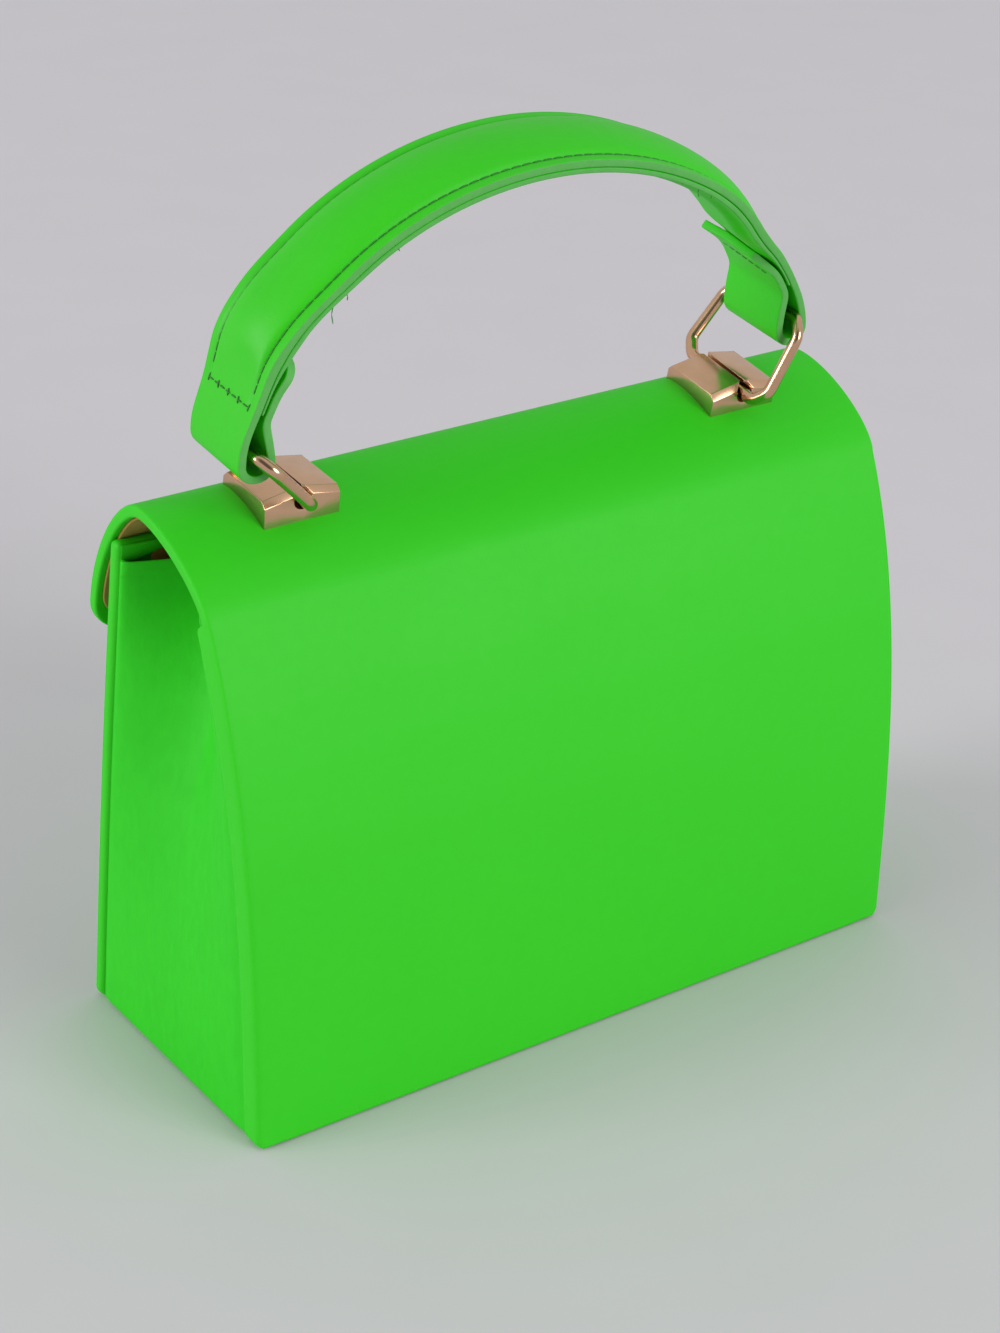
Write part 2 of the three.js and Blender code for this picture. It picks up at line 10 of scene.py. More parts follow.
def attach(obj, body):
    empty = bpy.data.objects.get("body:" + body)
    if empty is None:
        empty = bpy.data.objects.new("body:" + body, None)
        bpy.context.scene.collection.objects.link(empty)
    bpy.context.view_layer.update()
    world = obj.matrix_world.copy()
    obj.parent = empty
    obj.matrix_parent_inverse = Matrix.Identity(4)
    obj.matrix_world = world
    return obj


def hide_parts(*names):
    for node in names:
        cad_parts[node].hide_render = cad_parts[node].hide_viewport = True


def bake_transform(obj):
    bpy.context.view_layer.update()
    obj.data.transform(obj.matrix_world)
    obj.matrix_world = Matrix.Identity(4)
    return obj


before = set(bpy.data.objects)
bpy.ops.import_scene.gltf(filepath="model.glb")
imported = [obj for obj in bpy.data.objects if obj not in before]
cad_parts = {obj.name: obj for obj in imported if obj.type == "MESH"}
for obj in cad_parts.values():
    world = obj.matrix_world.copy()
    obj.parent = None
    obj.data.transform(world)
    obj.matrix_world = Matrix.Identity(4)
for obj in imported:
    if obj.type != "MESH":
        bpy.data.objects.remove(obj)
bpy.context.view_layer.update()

# Base: a rectangle of the green leather glued under a stiff board, with its edges skived and rolled over.
# The bag stands on it; front, back and sides come down round it. The lining lies on the board inside.
MM = 0.001
BAG_WIDTH = 200
BAG_DEPTH = 84
BASE_LEATHER = 1.4
BASE_SETBACK = 1.6
BASE_EDGE = 0.6


def deselect_all():
    bpy.ops.object.select_all(action="DESELECT")


def select_only(piece):
    deselect_all()
    piece.select_set(True)
    bpy.context.view_layer.objects.active = piece


def flat_panel(name, width, length, thickness, edge, columns, rows):
    """A panel cut flat, in millimetres: outer face on z = 0, first edge on y = 0, all edges rounded over."""
    deselect_all()
    bpy.ops.mesh.primitive_grid_add(x_subdivisions=columns, y_subdivisions=rows, size=1)
    panel = bpy.context.object
    panel.name = panel.data.name = name
    bpy.ops.object.mode_set(mode="EDIT")
    bpy.ops.mesh.select_all(action="SELECT")
    bpy.ops.transform.resize(value=(width, length, 1))
    bpy.ops.transform.translate(value=(0, length / 2, 0))
    bpy.ops.object.mode_set(mode="OBJECT")
    harden(panel, "SOLIDIFY", thickness=thickness, offset=-1)
    harden(panel, "BEVEL", width=edge, segments=4, limit_method="ANGLE", angle_limit=math.radians(60))
    return panel


def harden(piece, kind, **settings):
    """Adds a modifier and applies it."""
    modifier = piece.modifiers.new(kind.title(), kind)
    for setting, value in settings.items():
        setattr(modifier, setting, value)
    bpy.context.view_layer.objects.active = piece
    bpy.ops.object.modifier_apply(modifier=modifier.name)


def lay(piece, place):
    """Carries every point of a flat panel to its place on the bag; place works in millimetres."""
    for point in piece.data.vertices:
        point.co = Vector(place(*point.co)) * MM
    select_only(piece)
    bpy.ops.object.shade_smooth_by_angle(angle=math.radians(55))


def linear(colour):
    """An sRGB hex colour as linear RGBA."""
    channels = [int(colour[i:i + 2], 16) / 255 for i in (1, 3, 5)]
    return [c / 12.92 if c <= 0.04045 else ((c + 0.055) / 1.055) ** 2.4 for c in channels] + [1]


def add_node(tree, kind, inputs=None, **settings):
    """Adds a node; an input given as a socket is linked, any other is set."""
    node = tree.nodes.new(kind)
    for setting, value in settings.items():
        setattr(node, setting, value)
    for name, value in (inputs or {}).items():
        if isinstance(value, bpy.types.NodeSocket):
            tree.links.new(value, node.inputs[name])
        else:
            node.inputs[name].default_value = value
    return node


def new_material(name):
    """An empty node material with its output and the Principled shader that feeds it."""
    material = bpy.data.materials.new(name)
    material.use_nodes = True
    tree = material.node_tree
    tree.nodes.clear()
    shader = add_node(tree, "ShaderNodeBsdfPrincipled")
    add_node(tree, "ShaderNodeOutputMaterial", {"Surface": shader.outputs[0]})
    return material, tree, shader


def coated_leather(name, deep, lit, grain, relief, roughness, stretch=(1, 1, 1)):
    """Smooth leather with a dyed resin coat: even colour with faint clouding, fine pebbled grain, soft gloss.

    The real grain is about 0.3 mm across; it is drawn coarser so that it shows.
    """
    material, tree, shader = new_material(name)
    where = add_node(tree, "ShaderNodeTexCoord").outputs["Object"]
    grain_place = add_node(tree, "ShaderNodeMapping", {"Vector": where, "Scale": stretch}).outputs[0]
    clouds = add_node(tree, "ShaderNodeTexNoise", {"Vector": where, "Scale": 1 / (38 * MM), "Detail": 4.0})
    flecks = add_node(tree, "ShaderNodeTexNoise", {
        "Vector": grain_place, "Scale": 1 / (2.4 * MM), "Detail": 5.0})
    mixed = add_node(tree, "ShaderNodeMath", {0: clouds.outputs[0], 1: flecks.outputs[0]}, operation="ADD")
    amount = add_node(tree, "ShaderNodeMath", {0: mixed.outputs[0], 1: 0.5}, operation="MULTIPLY").outputs[0]
    dye = add_node(tree, "ShaderNodeMix", {0: amount, 6: linear(deep), 7: linear(lit)}, data_type="RGBA")
    tree.links.new(dye.outputs[2], shader.inputs["Base Color"])
    pebbles = add_node(tree, "ShaderNodeTexVoronoi", {"Vector": grain_place, "Scale": 1 / (grain * MM)})
    pores = add_node(tree, "ShaderNodeTexNoise", {
        "Vector": grain_place, "Scale": 1 / (grain * 0.7 * MM), "Detail": 3.0})
    height = add_node(tree, "ShaderNodeMath", {
        0: pebbles.outputs["Distance"], 1: pores.outputs[0]}, operation="ADD")
    bump = add_node(tree, "ShaderNodeBump", {
        "Height": height.outputs[0], "Strength": relief, "Distance": 0.1 * MM})
    tree.links.new(bump.outputs[0], shader.inputs["Normal"])
    rough = add_node(tree, "ShaderNodeMapRange", {
        "Value": amount, "To Min": roughness + 0.06, "To Max": roughness - 0.06})
    tree.links.new(rough.outputs[0], shader.inputs["Roughness"])
    shader.inputs["IOR"].default_value = 1.5
    shader.inputs["Specular IOR Level"].default_value = 0.32
    return material


box_leather = coated_leather("green coated leather", "#28C50B", "#30CB11", 1.0, 0.1, 0.58)


def finish_piece(piece, material):
    """Gives a piece its material."""
    piece.data.materials.clear()
    piece.data.materials.append(material)


base_length = BAG_DEPTH - 2 * BASE_SETBACK
base_width = BAG_WIDTH - 2 * BASE_SETBACK
base = flat_panel("base_leather", base_width, base_length, BASE_LEATHER, BASE_EDGE, 40, 20)
lay(base, lambda a, b, d: (a, b - base_length / 2, -d))
# Laid face down it is mirrored, so its faces are turned out again.
bpy.ops.object.mode_set(mode="EDIT")
bpy.ops.mesh.select_all(action="SELECT")
bpy.ops.mesh.normals_make_consistent(inside=False)
bpy.ops.object.mode_set(mode="OBJECT")
finish_piece(base, box_leather)
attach(base, "body")
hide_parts("base_cover")

# Stiffeners: grey pressed board, cut by knife, glued between leather and lining in base, back and front.
# They keep the box square and are closed in all round, so the solids only take the board's colour here.
board, tree, shader = new_material("grey pressed board")
where = add_node(tree, "ShaderNodeTexCoord").outputs["Object"]
fibres = add_node(tree, "ShaderNodeTexNoise", {"Vector": where, "Scale": 1 / (1.5 * MM), "Detail": 6.0})
pulp = add_node(tree, "ShaderNodeMix", {
    0: fibres.outputs[0], 6: linear("#827E75"), 7: linear("#B6B2A8")}, data_type="RGBA")
tree.links.new(pulp.outputs[2], shader.inputs["Base Color"])
bump = add_node(tree, "ShaderNodeBump", {"Height": fibres.outputs[0], "Strength": 0.3, "Distance": 0.1 * MM})
tree.links.new(bump.outputs[0], shader.inputs["Normal"])
shader.inputs["Roughness"].default_value = 0.9
for node in ("base_board", "back_board", "front_board"):
    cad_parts[node].data.materials.clear()
    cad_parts[node].data.materials.append(board)

# Back and flap leather: one piece that runs up the back, over the top and down the front as the flap.
# It is turned in over the boards along its edges, so the edge is thick and round. Below the fold the gussets'
# seam allowance makes the edge thicker still, and it stops in a square notch at the fold.
back_line = interpolate_bezier((42, 0), (42, 45), (42, 95), (24, 134.5), 150)
over_line = interpolate_bezier((24, 134.5), (20.7, 141.8), (5.3, 151), (-6.7, 151.7), 50)
down_line = interpolate_bezier((-6.7, 151.7), (-18, 152.4), (-32.5, 132), (-34.3, 116.5), 60)
end_line = interpolate_bezier((-34.3, 116.5), (-34.6, 114), (-34.9, 111.5), (-35.1, 109.5), 10)
side_line = [Vector(p).to_2d() for p in [*back_line, *over_line[1:], *down_line[1:], *end_line[1:]]]
BACK_THICK = 3.75
FLAP_THICK = 3.15
ALLOWANCE_THICK = 3.2
ALLOWANCE_WIDTH = 6
ALLOWANCE_EASE = 2
NOTCH_START = 1
NOTCH_END = 0.2
SKIN_EDGE = 1.75
FLAP_CORNER = 8
FOLD_EASE = 4
FOLD_REACH = 6.5
BOTTOM_GAP = 0.25
BOTTOM_CORNER = 2.8


def running_length(line):
    """The length run so far at each point of a line."""
    lengths = [0]
    for before, after in zip(line, line[1:]):
        lengths.append(lengths[-1] + (after - before).length)
    return lengths


def walk(line, lengths, distance):
    """The point and the direction a distance along a line."""
    i = min(max(bisect_right(lengths, distance) - 1, 0), len(line) - 2)
    share = (distance - lengths[i]) / (lengths[i + 1] - lengths[i])
    return line[i].lerp(line[i + 1], share), (line[i + 1] - line[i]).normalized()


def smooth(value, low, high):
    """0 up to low, 1 from high on, and an even curve between."""
    t = min(max((value - low) / (high - low), 0), 1)
    return t * t * (3 - 2 * t)


side_lengths = running_length(side_line)
fold_length = side_lengths[len(back_line) - 1]
skin_length = side_lengths[-1] - BOTTOM_GAP


def skin_thickness(along):
    """Leather and board together; the flap is thinner than the back."""
    to_flap = smooth(along, fold_length - FOLD_EASE, fold_length + FOLD_EASE)
    return BACK_THICK + (FLAP_THICK - BACK_THICK) * to_flap


def on_skin(x, along, depth):
    """A point under the outer face of the back and flap."""
    point, direction = walk(side_line, side_lengths, along)
    return x, point.x - direction.y * depth, point.y + direction.x * depth


def corner_pull(radius, to_end):
    """How far a rounded corner has drawn in the side edge, this far from the end."""
    return radius - math.sqrt(max(radius ** 2 - max(radius - to_end, 0) ** 2, 0))


def skin_place(a, b, d):
    along = BOTTOM_GAP + b
    pull = corner_pull(FLAP_CORNER, skin_length - b) + corner_pull(BOTTOM_CORNER, b)
    edge = smooth(abs(a), BAG_WIDTH / 2 - ALLOWANCE_WIDTH - ALLOWANCE_EASE, BAG_WIDTH / 2 - ALLOWANCE_WIDTH)
    edge *= 1 - smooth(along, fold_length - NOTCH_START, fold_length - NOTCH_END)
    thick = skin_thickness(along) + ALLOWANCE_THICK * edge
    return on_skin(a * (1 - 2 * pull / BAG_WIDTH), along, -d * thick / BACK_THICK)


skin = flat_panel("back_and_flap_leather", BAG_WIDTH, skin_length, BACK_THICK, SKIN_EDGE, 100, 280)
lay(skin, skin_place)
finish_piece(skin, box_leather)
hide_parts("back_cover", "flap_cover")
fold_start = Vector(on_skin(0, fold_length - FOLD_REACH, 0)) * MM
fold_end = Vector(on_skin(0, fold_length + FOLD_REACH, 0)) * MM
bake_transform(skin)

# Flap stiffener: a strip of the same board, bent to the flap's curve and glued between leather and lining.
# It stops clear of the turned edges and of the fold, where the leather alone has to bend.
BOARD_WIDTH = 184
BOARD_THICK = 0.9
BOARD_DEPTH = 1
BOARD_EDGE = 0.2
BOARD_FROM_FOLD = 9
BOARD_FROM_END = 6
board_start = fold_length + BOARD_FROM_FOLD
board_length = side_lengths[-1] - board_start - BOARD_FROM_END
flap_board = flat_panel("flap_stiffener_board", BOARD_WIDTH, board_length, BOARD_THICK, BOARD_EDGE, 20, 60)
lay(flap_board, lambda a, b, d: on_skin(a, board_start + b, BOARD_DEPTH - d))
finish_piece(flap_board, board)
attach(flap_board, "flap")
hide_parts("flap_board")

# Back and flap lining: one tan split suede sheet glued inside the back and the flap, over the boards.
# It stops short of the turned edges and is cut narrower below the fold, where the gussets come in.
LINING = 0.7
LINING_EDGE = 0.3
LINING_MARGIN = 3.2
LINING_FLOOR = 4.8
LINING_SIDE = 1.8
LINING_NECK = 4.6
NECK_EASE = 8
LINING_RIPPLE = 0.12
GLUE = 0.02
suede, tree, shader = new_material("tan split suede")
where = add_node(tree, "ShaderNodeTexCoord").outputs["Object"]
patches = add_node(tree, "ShaderNodeTexNoise", {"Vector": where, "Scale": 1 / (9 * MM), "Detail": 6.0})
dye = add_node(tree, "ShaderNodeMix", {
    0: patches.outputs[0], 6: linear("#8F6A30"), 7: linear("#C5A05F")}, data_type="RGBA")
tree.links.new(dye.outputs[2], shader.inputs["Base Color"])
nap = add_node(tree, "ShaderNodeTexNoise", {"Vector": where, "Scale": 1 / (0.8 * MM), "Detail": 4.0})
bump = add_node(tree, "ShaderNodeBump", {"Height": nap.outputs[0], "Strength": 0.5, "Distance": 0.2 * MM})
tree.links.new(bump.outputs[0], shader.inputs["Normal"])
shader.inputs["Roughness"].default_value = 0.95
shader.inputs["Specular IOR Level"].default_value = 0.15
shader.inputs["Sheen Weight"].default_value = 0.25
shader.inputs["Sheen Tint"].default_value = linear("#D9B878")
lining_length = side_lengths[-1] - LINING_MARGIN - LINING_FLOOR
lining_width = BAG_WIDTH - 2 * LINING_SIDE


def lining_place(a, b, d):
    along = LINING_FLOOR + b
    ripple = LINING_RIPPLE * math.sin(a / 17) * math.sin(along / 23)
    pull = corner_pull(FLAP_CORNER, lining_length - b)
    pull += LINING_NECK * (1 - smooth(along, fold_length, fold_length + NECK_EASE))
    depth = skin_thickness(along) + GLUE + ripple * (d > -LINING / 2) - d
    return on_skin(a * (1 - 2 * pull / lining_width), along, depth)


lining = flat_panel("back_and_flap_lining", lining_width, lining_length, LINING, LINING_EDGE, 50, 180)
lay(lining, lining_place)
finish_piece(lining, suede)
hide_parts("back_lining", "flap_lining")
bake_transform(lining)

# Base lining: a rectangle of the same suede on the floor of the bag, glued to the base's board.
# The linings of front, back and gussets come down to its edges.
FLOOR_WIDTH = 190
FLOOR_LENGTH = 74
FLOOR_FRONT = 36.2
FLOOR_HEIGHT = 4.55
floor_lining = flat_panel("base_lining_suede", FLOOR_WIDTH, FLOOR_LENGTH, LINING, LINING_EDGE, 30, 16)
lay(floor_lining, lambda a, b, d: (a, b - FLOOR_FRONT, FLOOR_HEIGHT + d))
finish_piece(floor_lining, suede)
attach(floor_lining, "body")
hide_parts("base_lining")

# Front panel: leather turned in over a board and glued to the base, leaning back a little.
# Its rounded edge shows beside the gussets, which are glued in behind it.
FRONT_HEIGHT = 138.3
FRONT_LEAN = 0.142
FRONT_SLANT = math.hypot(1, FRONT_LEAN)
FRONT_THICK = 4.3
FRONT_BOW = 0.9
FRONT_EDGE = 1.6


def on_front(x, z, depth):
    """A point behind the outer face of the front, which bows out a little."""
    bow = FRONT_BOW * math.sin(math.pi * min(max(z / FRONT_HEIGHT, 0), 1))
    return x, FRONT_LEAN * z - bow - BAG_DEPTH / 2 + depth * FRONT_SLANT, z


def front_place(a, b, d):
    pull = corner_pull(BOTTOM_CORNER, b)
    return on_front(-a * (1 - 2 * pull / BAG_WIDTH), BOTTOM_GAP + b, -d)


front = flat_panel("front_leather", BAG_WIDTH, FRONT_HEIGHT - BOTTOM_GAP, FRONT_THICK, FRONT_EDGE, 60, 50)
lay(front, front_place)
finish_piece(front, box_leather)
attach(front, "body")
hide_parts("front_cover")

# Front facing and lining: a strip of the green leather glued inside the top of the front, wider and pressed
# flush at its ends beside the gussets, and the front's sheet of suede below it.
FACING_WIDTH = 198
FACING_HEIGHT = 2.4
FACING_THICK = 0.9
FACING_EDGE = 0.4
FACING_TOP = 0.8
FACING_SPREAD = 1.1
FACING_FLUSH = 0.95
FRONT_LINING_WIDTH = 182


def facing_place(a, b, d):
    drop = (FACING_HEIGHT - b) * (1 + FACING_SPREAD * smooth(abs(a), 86, 98))
    sink = FACING_THICK * (1 - FACING_FLUSH * smooth(abs(a), 93, 98.5))
    return on_front(a, FRONT_HEIGHT - FACING_TOP - drop, FRONT_THICK + sink + d)


facing = flat_panel("front_facing_leather", FACING_WIDTH, FACING_HEIGHT, FACING_THICK, FACING_EDGE, 50, 8)
lay(facing, facing_place)
finish_piece(facing, box_leather)
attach(facing, "body")
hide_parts("front_facing")

front_lining_length = FRONT_HEIGHT - FACING_HEIGHT - LINING_FLOOR
front_lining = flat_panel(
    "front_lining_suede", FRONT_LINING_WIDTH, front_lining_length, LINING, LINING_EDGE, 40, 40)
lay(front_lining, lambda a, b, d: on_front(a, LINING_FLOOR + b, FRONT_THICK + LINING + GLUE + d))
finish_piece(front_lining, suede)
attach(front_lining, "body")
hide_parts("front_lining")

# Gussets: soft side panels of thinner leather, lined with suede, their edges glued between front and back.
# The top is hemmed, and it folds inwards to let the bag close.
GUSSET_TOP = 133.8
GUSSET_THICK = 1.5
GUSSET_FOLD = 25
FOLD_START = 25
CREASE = 0.46
CREASE_SHIFT = 0.2
FLANGE = 1.5
GUSSET_EDGE = 0.6
GUSSET_INSET = 0.35
LAP_FRONT = 0.3
LAP_BACK = 1.1
BACK_SLANT = 1.02
NOTCH_LOW = 124
NOTCH_HIGH = 131
FRONT_TUCK = 0.6
BACK_TUCK = 0.7
NOTCH_TUCK = 3
CORNER_DROP = 1.5
HEM = 3.4
HEM_PROUD = 0.35
HEM_LINE = 0.3
SUEDE_GAP = 0.1
SUEDE_SHARE = 0.96
gusset_leather = coated_leather(
    "green gusset leather", "#1BBA07", "#2CD310", 0.8, 0.22, 0.66, stretch=(1, 1, 0.45))
back_heights = [p.y for p in side_line[:len(back_line)]]


def back_at(z):
    """How far back the outer face of the back stands at a height."""
    i = min(max(bisect_right(back_heights, z) - 1, 0), len(back_heights) - 2)
    share = (z - back_heights[i]) / (back_heights[i + 1] - back_heights[i])
    return side_line[i].x + (side_line[i + 1].x - side_line[i].x) * share


def gusset_point(outward, across, z, depth):
    """A point of a gusset: across runs from the front (0) to the back (1)."""
    y_front = on_front(0, z, FRONT_THICK)[1] - LAP_FRONT
    allowance = ALLOWANCE_THICK * (1 - smooth(z, NOTCH_LOW, NOTCH_HIGH))
    y_back = back_at(z) - (BACK_THICK + allowance) * BACK_SLANT + LAP_BACK
    y = y_front + (y_back - y_front) * across
    inner = min(max((y - y_front - FLANGE) / (y_back - y_front - 2 * FLANGE), 0), 1)
    crease = CREASE - CREASE_SHIFT * smooth(z, 95, GUSSET_TOP)
    from_edge = inner / crease if inner < crease else (1 - inner) / (1 - crease)
    rise = max(z - FOLD_START, 0) / (GUSSET_TOP - FOLD_START)
    fold = GUSSET_FOLD * rise ** 1.5 * (0.45 * from_edge + 0.55 * smooth(from_edge, 0, 1))
    tuck = corner_pull(BOTTOM_CORNER * 0.8, z - BOTTOM_GAP) + FRONT_TUCK * (1 - smooth(across, 0, 0.05))
    tuck += (BACK_TUCK + NOTCH_TUCK * smooth(z, 118, 130)) * smooth(across, 0.93, 1)
    return outward * (BAG_WIDTH / 2 - GUSSET_INSET - fold - tuck - depth), y, z


def gusset_place(outward):
    """The hem stands proud of the outer face along the top, with a pressed line under it."""
    def place(a, b, d):
        z = BOTTOM_GAP + b
        across = 0.5 + outward * a / BAG_DEPTH
        z -= CORNER_DROP * smooth(across, 0.9, 1) * smooth(z, 112, GUSSET_TOP)
        outer = (d > -GUSSET_THICK / 2) * smooth(0.5 - abs(across - 0.5), 0.03, 0.08)
        hem = outer * (HEM_PROUD * smooth(z, GUSSET_TOP - HEM - 0.5, GUSSET_TOP - HEM + 0.3)
                       - HEM_LINE * math.exp(-((z - GUSSET_TOP + HEM + 0.6) / 0.6) ** 2))
        return gusset_point(outward, across, z, -d - hem)
    return place


for side, outward in (("left", -1), ("right", 1)):
    gusset = flat_panel(
        f"gusset_{side}_leather", BAG_DEPTH, GUSSET_TOP - BOTTOM_GAP, GUSSET_THICK, GUSSET_EDGE, 64, 220)
    lay(gusset, gusset_place(outward))
    finish_piece(gusset, gusset_leather)
    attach(gusset, "body")
    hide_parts(f"gusset_{side}")
    inside = flat_panel(
        f"gusset_{side}_suede", BAG_DEPTH, GUSSET_TOP - LINING_FLOOR - 1, LINING, LINING_EDGE, 42, 66)
    lay(inside, lambda a, b, d: gusset_point(
        outward, 0.5 - outward * a / BAG_DEPTH * SUEDE_SHARE, LINING_FLOOR + b,
        GUSSET_THICK + SUEDE_GAP + LINING + d))
    finish_piece(inside, suede)
    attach(inside, "body")
    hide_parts(f"gusset_lining_{side}")

# Hidden hardware: magnet discs under the leather of flap and front, and the screws and washers that hold the
# saddles from inside the flap. All are plated with zinc and closed in by leather and lining.
steel, tree, shader = new_material("zinc plated steel")
where = add_node(tree, "ShaderNodeTexCoord").outputs["Object"]
spangle = add_node(tree, "ShaderNodeTexNoise", {"Vector": where, "Scale": 1 / (0.9 * MM), "Detail": 3.0})
zinc = add_node(tree, "ShaderNodeMix", {
    0: spangle.outputs[0], 6: linear("#9CA0A5"), 7: linear("#D1D5D9")}, data_type="RGBA")
tree.links.new(zinc.outputs[2], shader.inputs["Base Color"])
rough = add_node(tree, "ShaderNodeMapRange", {"Value": spangle.outputs[0], "To Min": 0.3, "To Max": 0.5})
tree.links.new(rough.outputs[0], shader.inputs["Roughness"])
shader.inputs["Metallic"].default_value = 1
hidden_steel = ["front_magnet", "flap_magnet"]
hidden_steel += [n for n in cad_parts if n.startswith(("saddle_screw", "saddle_washer"))]
for node in hidden_steel:
    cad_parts[node].data.materials.clear()
    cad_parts[node].data.materials.append(steel)

# Saddles: low gabled blocks cast in zinc and plated light gold, screwed on from inside the flap.
# A slot runs along the ridge and flares at its ends, and the ring's lower bar turns in a tunnel under it.
SADDLE_SEAT = Vector((0, 0.383, 150.457))
SADDLE_LEAN = math.radians(12)
LEFT_SADDLE_LEAN = math.radians(10)
RIGHT_SADDLE_LEAN = math.radians(6)
SADDLE_OFFSET = 66.2
SADDLE_WIDTH = 20.5
SADDLE_LENGTH = 19
SADDLE_EDGE = 4.1
SADDLE_RIDGE = 6
SADDLE_ROOT = 4
SADDLE_SUNK = 1.6
SADDLE_CHAMFER = 1.5
SADDLE_ROUND = 0.3
PIVOT_HEIGHT = 2.7
TUNNEL_RADIUS = 2.3
SLOT_WIDTH = 1.3
SLOT_FLOOR = 3.4
SLOT_FLARE = 3.8
NEAR = 0.01
saddle_frame = Matrix.Translation(SADDLE_SEAT) @ Matrix.Rotation(-SADDLE_LEAN, 4, "X")


def gold_plate(name, smoothest, roughest):
    """Light gold plating over zinc, faintly clouded, with fine polishing lines."""
    material, tree, shader = new_material(name)
    where = add_node(tree, "ShaderNodeTexCoord").outputs["Object"]
    tarnish = add_node(tree, "ShaderNodeTexNoise", {"Vector": where, "Scale": 1 / (6 * MM), "Detail": 3.0})
    plating = add_node(tree, "ShaderNodeMix", {
        0: tarnish.outputs[0], 6: linear("#CEA17E"), 7: linear("#E1BB99")}, data_type="RGBA")
    tree.links.new(plating.outputs[2], shader.inputs["Base Color"])
    hairlines = add_node(tree, "ShaderNodeMapping", {"Vector": where, "Scale": (1, 0.15, 1)}).outputs[0]
    scratches = add_node(tree, "ShaderNodeTexNoise", {
        "Vector": hairlines, "Scale": 1 / (0.5 * MM), "Detail": 4.0})
    rough = add_node(tree, "ShaderNodeMapRange", {
        "Value": scratches.outputs[0], "To Min": smoothest, "To Max": roughest})
    tree.links.new(rough.outputs[0], shader.inputs["Roughness"])
    bump = add_node(tree, "ShaderNodeBump", {
        "Height": scratches.outputs[0], "Strength": 0.04, "Distance": 0.05 * MM})
    tree.links.new(bump.outputs[0], shader.inputs["Normal"])
    shader.inputs["Metallic"].default_value = 1
    return material


satin_gold = gold_plate("satin gold plate", 0.17, 0.28)


def pick(piece, mode, wanted):
    """Selects, in edit mode, the edges or corners of a piece that pass a test."""
    bpy.ops.mesh.select_mode(type=mode)
    bpy.ops.mesh.select_all(action="DESELECT")
    shape = bmesh.from_edit_mesh(piece.data)
    for part in (shape.edges if mode == "EDGE" else shape.verts):
        part.select_set(wanted(part))
    bmesh.update_edit_mesh(piece.data)


def middle(edge):
    return (edge.verts[0].co + edge.verts[1].co) / 2


def cut_away(piece, cutter):
    """Cuts a shape out of a piece and removes the cutter."""
    harden(piece, "BOOLEAN", object=cutter, operation="DIFFERENCE", solver="EXACT")
    bpy.data.objects.remove(cutter)


def flap_top(y):
    """The height of the flap's outer face over a line across its top."""
    over = side_line[len(back_line) - 1:]
    i = next(i for i in range(len(over) - 1) if over[i + 1].x <= y)
    return over[i].y + (over[i + 1].y - over[i].y) * (over[i].x - y) / (over[i].x - over[i + 1].x)


for side, outward, lean in (("left", -1, LEFT_SADDLE_LEAN), ("right", 1, RIGHT_SADDLE_LEAN)):
    deselect_all()
    bpy.ops.mesh.primitive_cube_add(size=1)
    saddle = bpy.context.object
    saddle.name = saddle.data.name = f"saddle_{side}_block"
    bpy.ops.object.mode_set(mode="EDIT")
    bpy.ops.mesh.select_all(action="SELECT")
    bpy.ops.transform.resize(value=(SADDLE_WIDTH, SADDLE_LENGTH, SADDLE_EDGE + SADDLE_ROOT))
    bpy.ops.transform.translate(value=(0, 0, (SADDLE_EDGE - SADDLE_ROOT) / 2))
    bpy.ops.mesh.bisect(plane_co=(0, 0, 0), plane_no=(1, 0, 0))
    pick(saddle, "VERT", lambda v: abs(v.co.x) < NEAR and v.co.z > SADDLE_EDGE - NEAR)
    bpy.ops.transform.translate(value=(0, 0, SADDLE_RIDGE - SADDLE_EDGE))
    pick(saddle, "EDGE", lambda e: middle(e).z > SADDLE_EDGE - NEAR
         and abs(middle(e).y) > SADDLE_LENGTH / 2 - NEAR)
    bpy.ops.mesh.bevel(offset=SADDLE_CHAMFER, segments=1)
    bpy.ops.object.mode_set(mode="OBJECT")
    bpy.ops.mesh.primitive_cylinder_add(
        vertices=32, radius=TUNNEL_RADIUS, depth=2 * SADDLE_LENGTH, location=(0, 0, PIVOT_HEIGHT),
        rotation=(math.pi / 2, 0, 0))
    cut_away(saddle, bpy.context.object)
    bpy.ops.mesh.primitive_cube_add(
        size=1, location=(0, 0, PIVOT_HEIGHT + SADDLE_RIDGE / 2),
        scale=(SLOT_WIDTH, 2 * SADDLE_LENGTH, SADDLE_RIDGE))
    cut_away(saddle, bpy.context.object)
    for end in (-1, 1):
        bpy.ops.mesh.primitive_cube_add(
            size=1, location=(0, end * SADDLE_LENGTH / 2, SLOT_FLOOR + SADDLE_RIDGE / 2),
            rotation=(0, 0, math.pi / 4), scale=(SLOT_FLARE, SLOT_FLARE, SADDLE_RIDGE))
        cut_away(saddle, bpy.context.object)
    harden(saddle, "BEVEL", width=SADDLE_ROUND, segments=3, limit_method="ANGLE",
           angle_limit=math.radians(25))
    eased = Matrix.Rotation(SADDLE_LEAN - lean, 4, "X")
    standing = saddle_frame @ Matrix.Translation((outward * SADDLE_OFFSET, 0, 0)) @ eased
    for point in saddle.data.vertices:
        placed = standing @ point.co
        if point.co.z < 0:
            foot = standing @ Vector((point.co.x, point.co.y, -SADDLE_ROOT))
            placed.z += (flap_top(foot.y) - SADDLE_SUNK - foot.z) * -point.co.z / SADDLE_ROOT
        point.co = placed * MM
    select_only(saddle)
    bpy.ops.object.shade_smooth_by_angle(angle=math.radians(25))
    finish_piece(saddle, satin_gold)
    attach(saddle, "flap")
    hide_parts(f"saddle_{side}")

